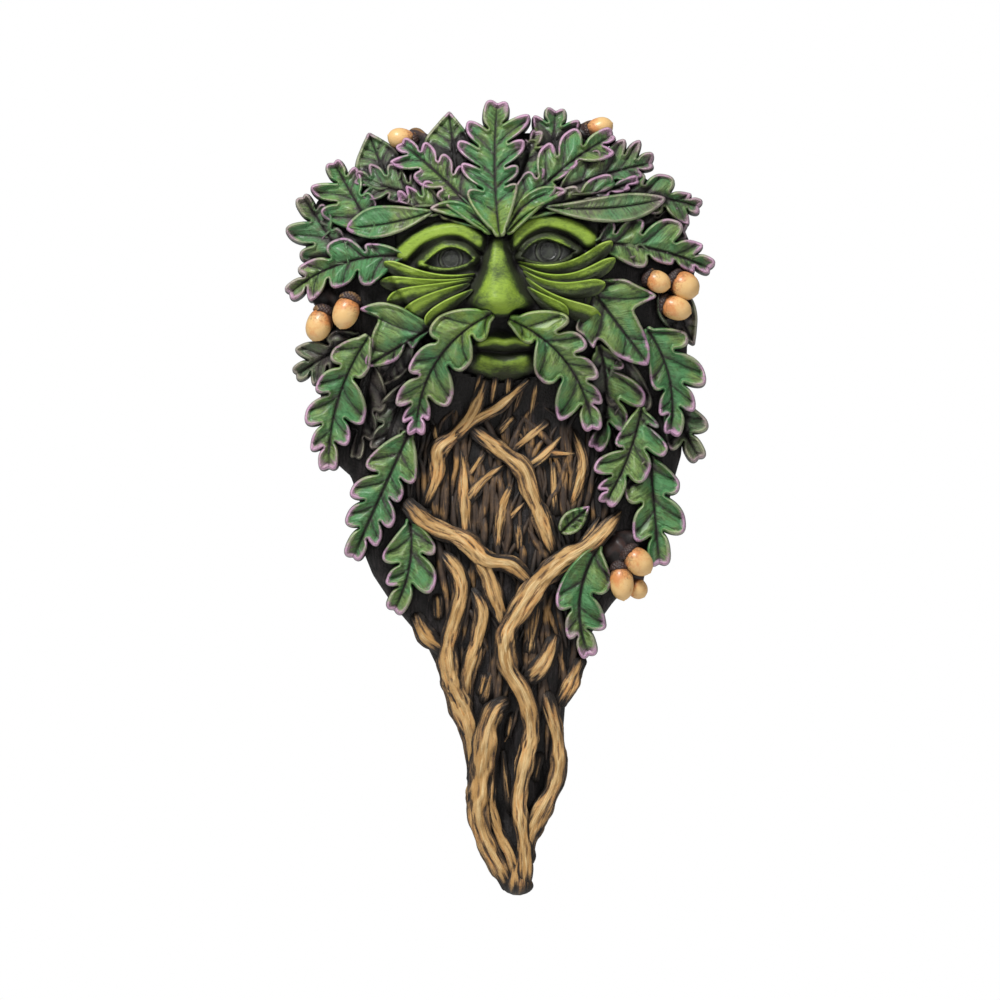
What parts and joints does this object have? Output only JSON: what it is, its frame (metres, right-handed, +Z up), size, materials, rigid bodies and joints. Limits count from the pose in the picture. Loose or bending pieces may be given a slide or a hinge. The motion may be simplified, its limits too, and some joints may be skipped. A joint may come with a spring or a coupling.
{
  "type": "green man wall plaque",
  "caption": "Cast resin wall plaque of a green man: a face in a crown, moustache and beard of oak leaves, with acorns and a long pointed beard of twisting roots.",
  "frame": {"origin": "on the flat back behind the nose, 300 mm above the root tip", "axes": "+Z up to the crown, -Y out of the wall towards the viewer, +Y into the wall, +X to the viewer's right"},
  "size_m": [0.214, 0.0625, 0.399],
  "materials": {
    "painted_resin": "hand-painted cast resin, satin: leaf greens, lilac leaf rims, ochre roots, cream acorns and a dark wash in the hollows"
  },
  "bodies": {
    "root": {"green_man_plaque": "painted_resin"}
  },
  "joints": []
}
